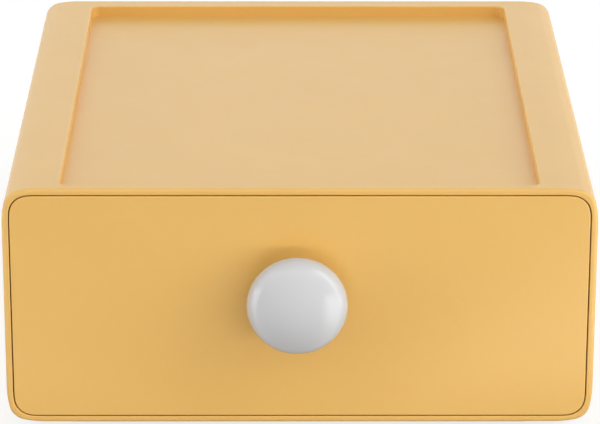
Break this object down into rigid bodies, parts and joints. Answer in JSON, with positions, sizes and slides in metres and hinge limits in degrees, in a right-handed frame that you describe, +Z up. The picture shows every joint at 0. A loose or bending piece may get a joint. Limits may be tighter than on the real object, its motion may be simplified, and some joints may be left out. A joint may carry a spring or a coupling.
{
  "type": "stackable drawer box",
  "caption": "Low rounded plastic box with a shallow stacking recess in its top and a flush drawer pulled out by a white mushroom knob.",
  "frame": {"origin": "bottom centre of the whole object with the drawer shut, on the plane that the feet stand on, the knob counted in", "axes": "+X to the right seen from the front, +Y from the drawer's front to the closed back, +Z up"},
  "size_m": [0.18, 0.2144, 0.0804],
  "materials": {
    "yellow_plastic": "satin moulded",
    "white_plastic": "smooth satin-gloss",
    "brass": "turned",
    "zinc_steel": "zinc plated",
    "foot_rubber": "matt"
  },
  "bodies": {
    "case": {"case_shell": "yellow_plastic", "foot_front_left": "foot_rubber", "foot_front_right": "foot_rubber", "foot_rear_left": "foot_rubber", "foot_rear_right": "foot_rubber"},
    "drawer": {"drawer_front": "yellow_plastic", "drawer_tray": "yellow_plastic", "knob": "white_plastic", "knob_insert": "brass", "knob_screw": "zinc_steel", "knob_washer": "zinc_steel"}
  },
  "joints": [
    {"name": "drawer_slide", "type": "slide", "parent": "case", "child": "drawer", "axis": [0, -1, 0], "range_m": [0, 0.145]}
  ]
}
